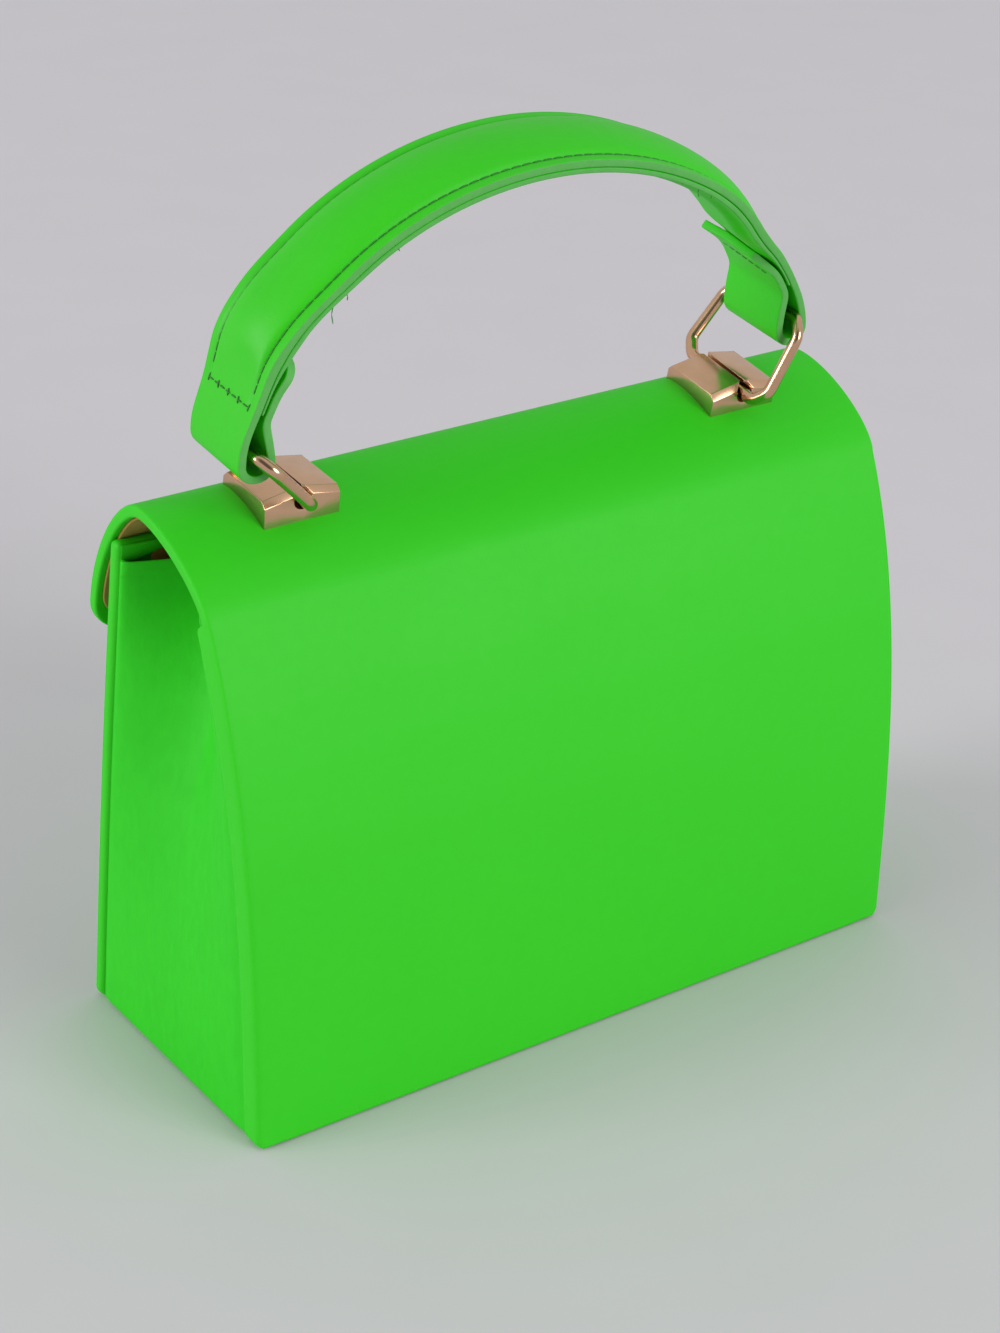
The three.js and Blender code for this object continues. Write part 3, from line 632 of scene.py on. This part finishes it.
# Rings: polished gold wire bent to a long octagon and joined at the ends. The lower bar turns in the saddle's
# tunnel, and the upper bar carries the handle's loop. The left ring has tipped over and twisted a little.
WIRE_RADIUS = 1.6
RING_REACH = 23
RING_HALF = 16.4
RING_CORNER = 3.7
RING_BEND = 1.6
REST_LEFT = math.radians(60)
REST_RIGHT = math.radians(45.5)
BAR_LEAN = math.radians(2.5)
RIGHT_RING_LEAN = math.radians(4)
LEFT_TIP = math.radians(3)
LEFT_TWIST = 0.12
ring_corners = [Vector(p) for p in (
    (RING_HALF - RING_CORNER, 0), (RING_HALF, RING_CORNER), (RING_HALF, RING_REACH - RING_CORNER),
    (RING_HALF - RING_CORNER, RING_REACH), (RING_CORNER - RING_HALF, RING_REACH),
    (-RING_HALF, RING_REACH - RING_CORNER), (-RING_HALF, RING_CORNER), (RING_CORNER - RING_HALF, 0))]
ring_line = []
for i, corner in enumerate(ring_corners):
    toward = (ring_corners[i - 1] - corner).normalized() * RING_BEND
    onward = (ring_corners[(i + 1) % 8] - corner).normalized() * RING_BEND
    for step in range(7):
        t = step / 6
        ring_line.append(corner + toward * (1 - t) ** 2 + onward * t ** 2)
ring_line.append(ring_line[0])
ring_lengths = running_length(ring_line)
bright_gold = gold_plate("polished gold wire", 0.1, 0.2)


def across_way(lean):
    """The direction across rings and strap, towards the back and down by the lean."""
    return Vector((0, math.cos(lean), -math.sin(lean)))


for side, outward, rest, lean, twist in (
        ("left", -1, REST_LEFT + LEFT_TIP, LEFT_SADDLE_LEAN, LEFT_TWIST),
        ("right", 1, REST_RIGHT, RIGHT_RING_LEAN, 0)):
    deselect_all()
    bpy.ops.mesh.primitive_torus_add(
        major_segments=160, minor_segments=18, major_radius=RING_REACH, minor_radius=WIRE_RADIUS)
    ring = bpy.context.object
    ring.name = ring.data.name = f"ring_{side}_wire"
    to_bar = Vector((outward * math.cos(rest), 0, math.sin(rest)))
    square = Vector((0, 1, 0)).cross(to_bar)
    pivot = Vector((outward * SADDLE_OFFSET, 0, PIVOT_HEIGHT))
    for point in ring.data.vertices:
        turn = (math.atan2(point.co.y, point.co.x) / math.tau) % 1
        centre, direction = walk(ring_line, ring_lengths, turn * ring_lengths[-1])
        out = math.hypot(point.co.x, point.co.y) - RING_REACH
        flat = centre + Vector((direction.y, -direction.x)) * out
        placed = saddle_frame @ (pivot + to_bar * flat.y + square * point.co.z)
        rise = flat.y / RING_REACH
        turned = across_way(lean + (BAR_LEAN - lean) * rise) + Vector((twist * rise, 0, 0))
        point.co = (placed + turned * flat.x) * MM
    bpy.ops.object.shade_smooth()
    finish_piece(ring, bright_gold)
    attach(ring, f"ring_{side}")
    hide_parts(f"ring_{side}")

# Handle strap: one long strip of leather over the foam, led round each ring bar and back under as a stitched
# tab. It is sewn to the underside 3 mm from its edges, so the middle stands up as a pad and the edges are
# pinched thin.
STRAP_WIDTH = 25
STRAP_THICK = 2.2
UNDERSIDE_THICK = 1.4
CORE_THICK = 4.2
CORE_END = 0.3
HANDLE_GAP = 0.15
ARCH_CROWN = 63.6
ARCH_BASE = -9
HANDLE_SWAY = 0.145
RIGHT_DENT = 1.5
RIGHT_KINK = 1.9
LEFT_DENT = 2
RIGHT_TWIST = 0.07
LEFT_SAG = 1.2
LOOP_RADIUS = 3.9
LOOP_INSET = 0.9
LOOP_DROP = 2.4
LOOP_EASE = 8
CLOSE_EASE = 4
PAD_START = math.radians(16.5)
PAD_SWELL = math.radians(19)
TAB_END = math.radians(29.5)
PAD_FULL = math.radians(36)
SEAM = 9.5
PAD_PINCH = 0.62
GROOVE_DEPTH = 0.4
GROOVE_WIDTH = 0.55
TAB_CORNER = 7
TAB_SLANT = 3
TAB_LIFT = 0.9
BEND_REACH = 55


def bar_at(outward, rest):
    """Where a ring's upper bar stands in the saddles' side view."""
    return Vector((outward * (SADDLE_OFFSET + RING_REACH * math.cos(rest)),
                   PIVOT_HEIGHT + RING_REACH * math.sin(rest)))


bar_left = bar_at(-1, REST_LEFT)
bar_right = bar_at(1, REST_RIGHT)
handle_middle = (bar_left + bar_right) / 2
handle_along = (bar_right - bar_left).normalized()
half_span = (bar_right - bar_left).length / 2
loop_centre = Vector((half_span - LOOP_INSET, -LOOP_DROP))
arch_rise = ARCH_CROWN - ARCH_BASE
loop_angle = math.asin((loop_centre.y - ARCH_BASE) / arch_rise)
arch_reach = (loop_centre.x + LOOP_RADIUS) / math.cos(loop_angle)


def on_handle(along, up, across):
    """A point of the handle's own side view, in the bag's millimetres.

    The arch sways to the right. Low down each half has settled and turned with its ring, and the strap's
    lean grows from that of the bars to that of the saddles' seat.
    """
    low = 1 - smooth(up, 18, 46)
    if along > 0:
        settled = (RIGHT_KINK * math.sin(math.pi * min(max((up - 18) / 26, 0), 1)) ** 2
                   - RIGHT_DENT * math.sin(math.pi * min(max(up / 28, 0), 1)) ** 2)
        twist = RIGHT_TWIST * (1 - smooth(up, 4, 28))
    else:
        settled = (LEFT_SAG + LEFT_DENT * smooth(up, 0, 20)) * low
        twist = LEFT_TWIST * low
    along += HANDLE_SWAY * up + smooth(abs(along), 10, 60) * (settled + twist * across)
    x, z = handle_middle + handle_along * along + Vector((-handle_along.y, handle_along.x)) * up
    lean = BAR_LEAN + (SADDLE_LEAN - BAR_LEAN) * smooth(up, 5, 45)
    return saddle_frame @ Vector((x, 0, z)) + across_way(lean) * across


def arch_point(angle, depth):
    """A point under the strap's middle layer; the angle runs up from the side to the crown."""
    outward = Vector((math.cos(angle) / arch_reach, math.sin(angle) / arch_rise)).normalized()
    return Vector((arch_reach * math.cos(angle), ARCH_BASE + arch_rise * math.sin(angle))) - outward * depth


def core_thickness(angle):
    """The foam's thickness, which swells from the loops to the pad."""
    return CORE_END + (CORE_THICK - CORE_END) * smooth(angle, PAD_SWELL, PAD_FULL)


def underside_top(angle):
    """How far under the strap's middle layer the upper face of the underside lies."""
    return STRAP_THICK / 2 + HANDLE_GAP + core_thickness(angle) + HANDLE_GAP


def skived(angle):
    """The underside's thickness, pared down at its ends."""
    return UNDERSIDE_THICK * (0.45 + 0.55 * smooth(angle, PAD_SWELL, PAD_FULL))


def tab_depth(angle):
    """How far under the strap's middle layer that of its tab lies."""
    return underside_top(angle) + skived(angle) + HANDLE_GAP + STRAP_THICK / 2


def steps_between(first, last, steps):
    return [first + (last - first) * i / steps for i in range(steps + 1)]


arch_angles = steps_between(math.pi / 2, loop_angle, 120)
half_line = [arch_point(angle, 0) for angle in arch_angles]
arch_count = len(half_line)
half_line += [loop_centre + LOOP_RADIUS * Vector((math.cos(turn), math.sin(turn)))
              for turn in steps_between(0, -math.pi, 30)[1:]]
leg_low = half_line[-1]
leg_high = arch_point(PAD_START, tab_depth(PAD_START))
leg_ease = (arch_point(PAD_START + 0.01, tab_depth(PAD_START)) - leg_high).normalized() * CLOSE_EASE
leg = interpolate_bezier(leg_low, leg_low + Vector((0, LOOP_EASE)), leg_high - leg_ease, leg_high, 24)
half_line += [p.to_2d() for p in leg[1:]]
half_line += [arch_point(angle, tab_depth(angle)) for angle in steps_between(PAD_START, TAB_END, 20)[1:]]
half_lengths = running_length(half_line)
arch_half = half_lengths[arch_count - 1]
strap_length = 2 * half_lengths[-1]


def angle_at(distance):
    """The arch angle at a distance along the strap from the crown."""
    i = min(bisect_right(half_lengths, distance) - 1, arch_count - 2)
    share = (distance - half_lengths[i]) / (half_lengths[i + 1] - half_lengths[i])
    return arch_angles[i] + (arch_angles[i + 1] - arch_angles[i]) * share


def strap_point(across, along, out):
    """A point of the strap, along it from the left tab's end, and out from its middle layer."""
    from_crown = along - strap_length / 2
    centre, direction = walk(half_line, half_lengths, min(abs(from_crown), half_lengths[-1] - 1e-6))
    normal = Vector((-direction.y, direction.x))
    place = centre + normal * out
    return on_handle(math.copysign(1, from_crown) * place.x, place.y, across)


def pinch(across, along):
    """How far the strap's outer face sinks below the top of the pad, with a groove along each seam."""
    from_crown = abs(along - strap_length / 2)
    if from_crown > arch_half - 1:
        return 0
    angle = angle_at(from_crown)
    full = PAD_PINCH * core_thickness(angle) * smooth(angle, PAD_START, math.radians(30))
    q = abs(across)
    dome = (1 - min(q / SEAM, 1) ** 2) ** 0.8
    groove = GROOVE_DEPTH * math.exp(-((q - SEAM) / GROOVE_WIDTH) ** 2)
    groove *= smooth(angle, PAD_START, PAD_START + 0.03)
    return full * (1 - dome) + groove


def tab_along(across, along):
    """The left tab is cut at a slant, shorter on the side towards the back."""
    return along + TAB_SLANT * (1 + 2 * across / STRAP_WIDTH) * (1 - smooth(along, 0, 16))


def strap_place(a, b, d):
    pull = corner_pull(TAB_CORNER, min(b, strap_length - b)) * (0.25 if b < TAB_CORNER and a < 0 else 1)
    across = a * (1 - 2 * pull / STRAP_WIDTH)
    lift = TAB_LIFT * smooth(-across, 2, 12) * smooth(12 - b, 0, 12)
    along = tab_along(across, b)
    return strap_point(across, along, STRAP_THICK / 2 + d - pinch(across, along) + lift)


def cut_faces(panel):
    """The faces along the two long cut edges of a flat panel."""
    return [face.index for face in panel.data.polygons if abs(face.normal.x) > 0.75]


strap_leather = coated_leather("green strap leather", "#2BC00C", "#36C913", 0.9, 0.16, 0.5)
cut_leather = coated_leather("cut leather edge", "#4C9E46", "#62B85A", 0.6, 0.4, 0.75)
strap = flat_panel("handle_strap", STRAP_WIDTH, strap_length, STRAP_THICK, 0.45, 50, 300)
strap_edges = cut_faces(strap)
lay(strap, strap_place)
finish_piece(strap, strap_leather)
strap.data.materials.append(cut_leather)
for face in strap_edges:
    strap.data.polygons[face].material_index = 1
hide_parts("handle_strap_left", "handle_strap_right")
bend_start = on_handle(BEND_REACH, 0, 0) * MM
bend_end = on_handle(-BEND_REACH, 0, 0) * MM
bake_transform(strap)

# Handle underside: a second strip of the same leather under the foam, sewn to the strap along both edges.
# Its ends are pared thin and lie between the strap and its tabs.
under_end = half_lengths[min(range(arch_count), key=lambda i: abs(arch_angles[i] - PAD_START))]
under_length = 2 * under_end


def under_point(across, along, down):
    """A point of the underside, which is drawn up to the strap along both seams."""
    from_crown = along - under_end
    angle = angle_at(min(abs(from_crown), under_end))
    pinched = STRAP_THICK / 2 + pinch(STRAP_WIDTH / 2, strap_length / 2 + from_crown) + 0.1
    free = 1 - smooth(abs(across), 6.5, 11.5)
    depth = pinched + (underside_top(angle) - pinched) * free + down * skived(angle) / UNDERSIDE_THICK
    place = arch_point(angle, depth)
    return on_handle(math.copysign(1, from_crown) * place.x, place.y, across)


underside = flat_panel("handle_underside", STRAP_WIDTH, under_length, UNDERSIDE_THICK, 0.4, 26, 180)
under_edges = cut_faces(underside)
lay(underside, lambda a, b, d: under_point(-a, b, UNDERSIDE_THICK + d))
finish_piece(underside, strap_leather)
underside.data.materials.append(cut_leather)
for face in under_edges:
    underside.data.polygons[face].material_index = 1
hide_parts("handle_underside_left", "handle_underside_right")
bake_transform(underside)

# Handle padding: a strip of open foam between the two leathers, thinned towards the loops.
# It lies loose between the two seams and fills the pad.
CORE_WIDTH = 16
foam, tree, shader = new_material("open cell foam")
where = add_node(tree, "ShaderNodeTexCoord").outputs["Object"]
cells = add_node(tree, "ShaderNodeTexVoronoi", {"Vector": where, "Scale": 1 / (0.9 * MM)})
pale = add_node(tree, "ShaderNodeMix", {
    0: cells.outputs["Distance"], 6: linear("#DAD4C4"), 7: linear("#EFEADD")}, data_type="RGBA")
tree.links.new(pale.outputs[2], shader.inputs["Base Color"])
bump = add_node(tree, "ShaderNodeBump", {
    "Height": cells.outputs["Distance"], "Strength": 0.6, "Distance": 0.3 * MM})
tree.links.new(bump.outputs[0], shader.inputs["Normal"])
shader.inputs["Roughness"].default_value = 0.95


def core_place(a, b, d):
    from_crown = b - under_end
    angle = angle_at(min(abs(from_crown), under_end))
    top = STRAP_THICK / 2 + pinch(a, strap_length / 2 + from_crown) + 0.05
    low = underside_top(angle) - 0.1
    depth = top + max(low - top, 0.1) * min(max(-d, 0), 1)
    place = arch_point(angle, depth)
    return on_handle(math.copysign(1, from_crown) * place.x, place.y, a)


core = flat_panel("handle_foam", CORE_WIDTH, under_length, 1, 0.2, 16, 120)
lay(core, core_place)
finish_piece(core, foam)
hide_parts("handle_core_left", "handle_core_right")
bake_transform(core)

# Stitching: dark green polyester thread, one lockstitch line along each side of the pad, a tacked row across
# its ends and a row across each tab. A few thread ends hang loose under the strap's edge.
STITCH = 2.6
STITCH_PITCH = 2.95
THREAD_RADIUS = 0.22
STITCH_PROUD = 0.12
ROW_PROUD = 0.1
ROW_STITCHES = 7
TACKS = 5
TACK = 0.9
TAB_ROW = 8
LOOSE_RADIUS = 0.13
LOOSE_DEPTH = 4.6
LOOSE_FROM_EDGE = 0.4
thread, tree, shader = new_material("dark green polyester thread")
where = add_node(tree, "ShaderNodeTexCoord").outputs["Object"]
twist = add_node(tree, "ShaderNodeTexNoise", {"Vector": where, "Scale": 1 / (0.5 * MM), "Detail": 2.0})
dyed = add_node(tree, "ShaderNodeMix", {
    0: twist.outputs[0], 6: linear("#17691A"), 7: linear("#2A8A26")}, data_type="RGBA")
tree.links.new(dyed.outputs[2], shader.inputs["Base Color"])
bump = add_node(tree, "ShaderNodeBump", {"Height": twist.outputs[0], "Strength": 0.4, "Distance": 0.1 * MM})
tree.links.new(bump.outputs[0], shader.inputs["Normal"])
shader.inputs["Roughness"].default_value = 0.6


def stitch_between(first, second, radius):
    """One stitch: a six-sided thread that sinks into the leather at both ends."""
    deselect_all()
    run = Vector(second) - Vector(first)
    bpy.ops.mesh.primitive_cylinder_add(vertices=6, radius=radius, depth=run.length)
    stitch = bpy.context.object
    bpy.ops.object.mode_set(mode="EDIT")
    bpy.ops.mesh.select_all(action="SELECT")
    for cut in (-0.25, 0.25):
        bpy.ops.mesh.bisect(plane_co=(0, 0, cut * run.length), plane_no=(0, 0, 1))
        bpy.ops.mesh.select_all(action="SELECT")
    bpy.ops.object.mode_set(mode="OBJECT")
    for point in stitch.data.vertices:
        if abs(point.co.z) > 0.4 * run.length:
            point.co.x *= 0.4
            point.co.y *= 0.4
    turn = Vector((0, 0, 1)).rotation_difference(run).to_matrix().to_4x4()
    stitch.data.transform(Matrix.Translation((Vector(first) + Vector(second)) / 2) @ turn)
    stitch.data.transform(Matrix.Scale(MM, 4))
    return stitch


stitches = []
seam_end = under_end - 1.5
count = int(2 * seam_end / STITCH_PITCH)
for across in (-SEAM, SEAM):
    for i in range(count):
        start = strap_length / 2 - seam_end + i * STITCH_PITCH
        ends = [strap_point(across, along, STRAP_THICK / 2 - pinch(across, along) + STITCH_PROUD)
                for along in (start, start + STITCH)]
        stitches.append(stitch_between(*ends, THREAD_RADIUS))


def row_across(end, away, row, tacks):
    """A line of stitches across the strap, with short tacks over it."""
    def at(across, shift):
        along = tab_along(across, end + away * (row + shift))
        return strap_point(across, along, STRAP_THICK / 2 - pinch(across, along) + ROW_PROUD)
    step = 2 * SEAM / ROW_STITCHES
    for i in range(ROW_STITCHES):
        near = -SEAM + step * i
        stitches.append(stitch_between(at(near + 0.3, 0), at(near + step - 0.3, 0), THREAD_RADIUS))
    for i in range(tacks):
        near = SEAM * (2 * i / (TACKS - 1) - 1)
        stitches.append(stitch_between(at(near, -TACK), at(near + 0.3, TACK), THREAD_RADIUS * 1.2))


for away in (-1, 1):
    row_across(strap_length / 2, away, under_end - 0.8, TACKS)
for end, away in ((0, 1), (strap_length, -1)):
    row_across(end, away, TAB_ROW, 0)
for reach, fall, drift in (
        (36, 4.4, 0.6), (40, 1.8, -0.3), (58, 1.3, 0.8), (150, 2.2, 0.5), (154, 1.5, -0.6)):
    root = strap_point(
        STRAP_WIDTH / 2 - LOOSE_FROM_EDGE, strap_length / 2 + under_end - reach, -LOOSE_DEPTH)
    bend = root + Vector((drift, 0.2, -fall / 2))
    tip = bend + Vector((-drift / 2, 0.1, -fall / 2))
    stitches.append(stitch_between(root, bend, LOOSE_RADIUS))
    stitches.append(stitch_between(bend, tip, LOOSE_RADIUS))
deselect_all()
for stitch in stitches:
    stitch.select_set(True)
bpy.context.view_layer.objects.active = stitches[0]
bpy.ops.object.join()
stitching = bpy.context.object
stitching.name = stitching.data.name = "handle_stitching"
bpy.ops.object.shade_smooth()
finish_piece(stitching, thread)
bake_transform(stitching)

# Floor, light and camera: a table of pale grey paper, a large soft box to either side of the viewer, and an
# even room light that is dim on the viewer's own side.
DIM_SIDE = (0.52, 0.72, 0.45)
SOFT_BOX = 5
SOFT_BOX_AWAY = 8
CAMERA_PLACE = Vector((379.09, 523.39, 411.78)) * MM
CAMERA_BACK = Vector((0.5228, 0.7245, 0.4492)).normalized()
CAMERA_ROLL = math.radians(1.5)
CAMERA_LENS = 76.04
deselect_all()
bpy.ops.mesh.primitive_plane_add(size=12, location=(0, 0, 0))
table = bpy.context.object
table.name = "table"
paper, tree, shader = new_material("pale grey paper")
where = add_node(tree, "ShaderNodeTexCoord").outputs["Object"]
tooth = add_node(tree, "ShaderNodeTexNoise", {"Vector": where, "Scale": 1 / (40 * MM), "Detail": 3.0})
grey = add_node(tree, "ShaderNodeMix", {
    0: tooth.outputs[0], 6: linear("#D3D0D5"), 7: linear("#D7D4D9")}, data_type="RGBA")
tree.links.new(grey.outputs[2], shader.inputs["Base Color"])
shader.inputs["Roughness"].default_value = 0.9
shader.inputs["Specular IOR Level"].default_value = 0.1
table.data.materials.append(paper)

world = bpy.data.worlds.new("studio")
bpy.context.scene.world = world
world.use_nodes = True
tree = world.node_tree
tree.nodes.clear()
rays = add_node(tree, "ShaderNodeLightPath")
direction = add_node(tree, "ShaderNodeTexCoord").outputs["Generated"]
sky = add_node(tree, "ShaderNodeSeparateXYZ", {0: direction})
level = add_node(tree, "ShaderNodeMapRange", {"Value": sky.outputs[2], "To Min": 0.62, "To Max": 0.66})
ahead = add_node(tree, "ShaderNodeVectorMath", {0: direction, 1: DIM_SIDE}, operation="DOT_PRODUCT")
dim = add_node(tree, "ShaderNodeMapRange", {
    "Value": ahead.outputs["Value"], "From Min": 0.75, "From Max": 0.95, "To Min": 1.0, "To Max": 0.2})
shade = add_node(tree, "ShaderNodeMath", {0: level.outputs[0], 1: dim.outputs[0]}, operation="MULTIPLY")
room = add_node(tree, "ShaderNodeBackground", {"Color": linear("#FFFFFF"), "Strength": shade.outputs[0]})
backdrop = add_node(tree, "ShaderNodeBackground", {"Color": linear("#BDBABF"), "Strength": 1.0})
mixed = add_node(tree, "ShaderNodeMixShader", {
    0: rays.outputs["Is Camera Ray"], 1: room.outputs[0], 2: backdrop.outputs[0]})
add_node(tree, "ShaderNodeOutputWorld", {"Surface": mixed.outputs[0]})

for name, toward, power in (("side_box", (0.95, -0.25, 0.18), 450), ("fill_box", (-0.3, 0.92, 0.28), 380)):
    bpy.ops.object.light_add(type="AREA")
    soft_box = bpy.context.object
    soft_box.name = soft_box.data.name = name
    soft_box.data.shape = "DISK"
    soft_box.data.size = SOFT_BOX
    soft_box.data.energy = power
    toward = Vector(toward).normalized()
    turn = toward.to_track_quat("Z", "Y").to_matrix().to_4x4()
    soft_box.matrix_world = Matrix.Translation(toward * SOFT_BOX_AWAY) @ turn

bpy.ops.object.camera_add()
camera = bpy.context.object
camera.data.lens = CAMERA_LENS
camera.data.sensor_width = 36
level_right = Vector((0, 0, 1)).cross(CAMERA_BACK).normalized()
level_up = CAMERA_BACK.cross(level_right)
right = level_right * math.cos(CAMERA_ROLL) + level_up * math.sin(CAMERA_ROLL)
up = level_up * math.cos(CAMERA_ROLL) - level_right * math.sin(CAMERA_ROLL)
turn = Matrix((right, up, CAMERA_BACK)).transposed()
camera.matrix_world = Matrix.Translation(CAMERA_PLACE) @ turn.to_4x4()
bpy.context.scene.camera = camera
bpy.context.scene.view_settings.view_transform = "Standard"
